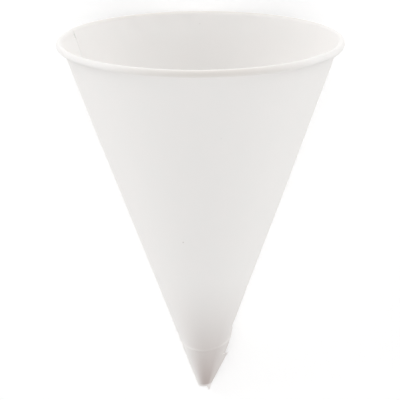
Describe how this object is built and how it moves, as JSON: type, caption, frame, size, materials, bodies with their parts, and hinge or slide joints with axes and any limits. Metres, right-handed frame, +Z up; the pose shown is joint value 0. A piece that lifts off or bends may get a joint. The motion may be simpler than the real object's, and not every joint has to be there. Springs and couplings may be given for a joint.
{
  "type": "cone paper cup",
  "caption": "White cone paper cup wound from one sheet, with an outward rolled rim, a lapped seam and a blunt wound tip. It lies on its side, mouth open, and holds a short drink of water.",
  "frame": {"origin": "middle of the footprint, on the surface that the cup lies on", "axes": "+Y from the tip towards the mouth, along the surface; +Z up, out of the side that the picture shows; +X to the right of that side"},
  "size_m": [0.073, 0.0989, 0.0682],
  "materials": {
    "white_paper": "matt uncoated white paper, faintly mottled, soft sheen"
  },
  "bodies": {
    "root": {"cone_cup": "white_paper"}
  },
  "joints": []
}
